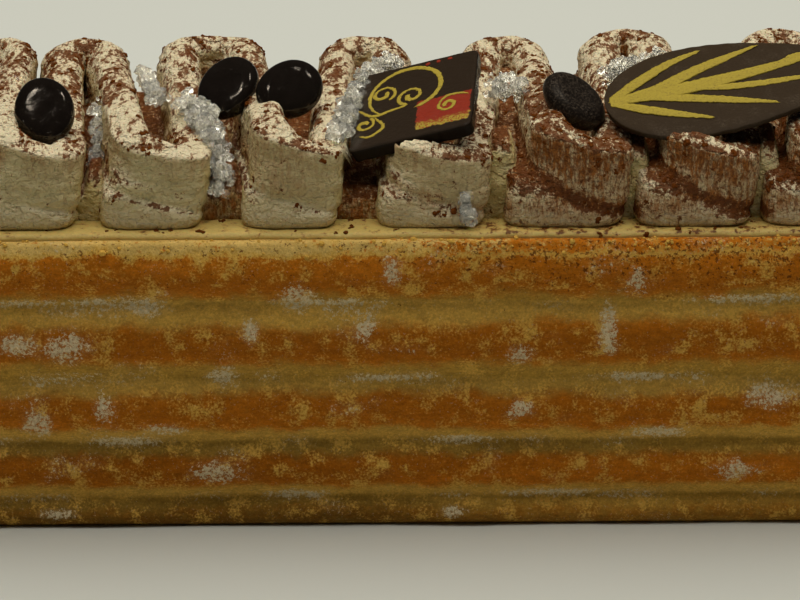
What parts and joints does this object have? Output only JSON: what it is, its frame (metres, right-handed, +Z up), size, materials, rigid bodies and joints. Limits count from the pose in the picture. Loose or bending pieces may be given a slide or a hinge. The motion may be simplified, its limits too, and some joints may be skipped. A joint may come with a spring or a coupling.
{
  "type": "chocolate tiramisu strip",
  "caption": "Long tiramisu strip in ribbed ladyfinger sponge, topped with a piped ribbon of whipped cream, cocoa, chocolate drops, a square plaque, a leaf and sugar crystals.",
  "frame": {"origin": "middle of the flat underside of the strip", "axes": "+Z up, +X along the strip to the right as seen from the front, the front side faces -Y"},
  "size_m": [0.2355, 0.0878, 0.0943],
  "materials": {
    "sponge": "baked ladyfinger sponge, golden brown ribs with paler grooves, sugar bloom and cocoa specks",
    "bed_cream": "soft pale yellow cream",
    "whipped_cream": "whipped cream, satin, dusted with red-brown cocoa",
    "dark_chocolate": "polished dark chocolate",
    "printed_plaque": "dark chocolate with gold scrolls and one red field",
    "leaf_chocolate": "satin chocolate with gold veins and a faint bloom",
    "sugar_crystal": "clear broken sugar crystals"
  },
  "bodies": {
    "root": {"sponge_case": "sponge", "cream_bed": "bed_cream", "piped_ribbon": "whipped_cream", "chocolate_drop_1": "dark_chocolate", "chocolate_drop_2": "dark_chocolate", "chocolate_drop_3": "dark_chocolate", "chocolate_drop_4": "dark_chocolate", "chocolate_drop_5": "dark_chocolate", "chocolate_drop_6": "dark_chocolate", "square_plaque": "printed_plaque", "chocolate_leaf": "leaf_chocolate", "crystal_clump_1": "sugar_crystal", "crystal_clump_2": "sugar_crystal", "crystal_clump_3": "sugar_crystal", "crystal_clump_4": "sugar_crystal", "crystal_clump_5": "sugar_crystal", "crystal_clump_6": "sugar_crystal", "crystal_clump_7": "sugar_crystal", "crystal_clump_8": "sugar_crystal", "crystal_clump_9": "sugar_crystal"}
  },
  "joints": []
}
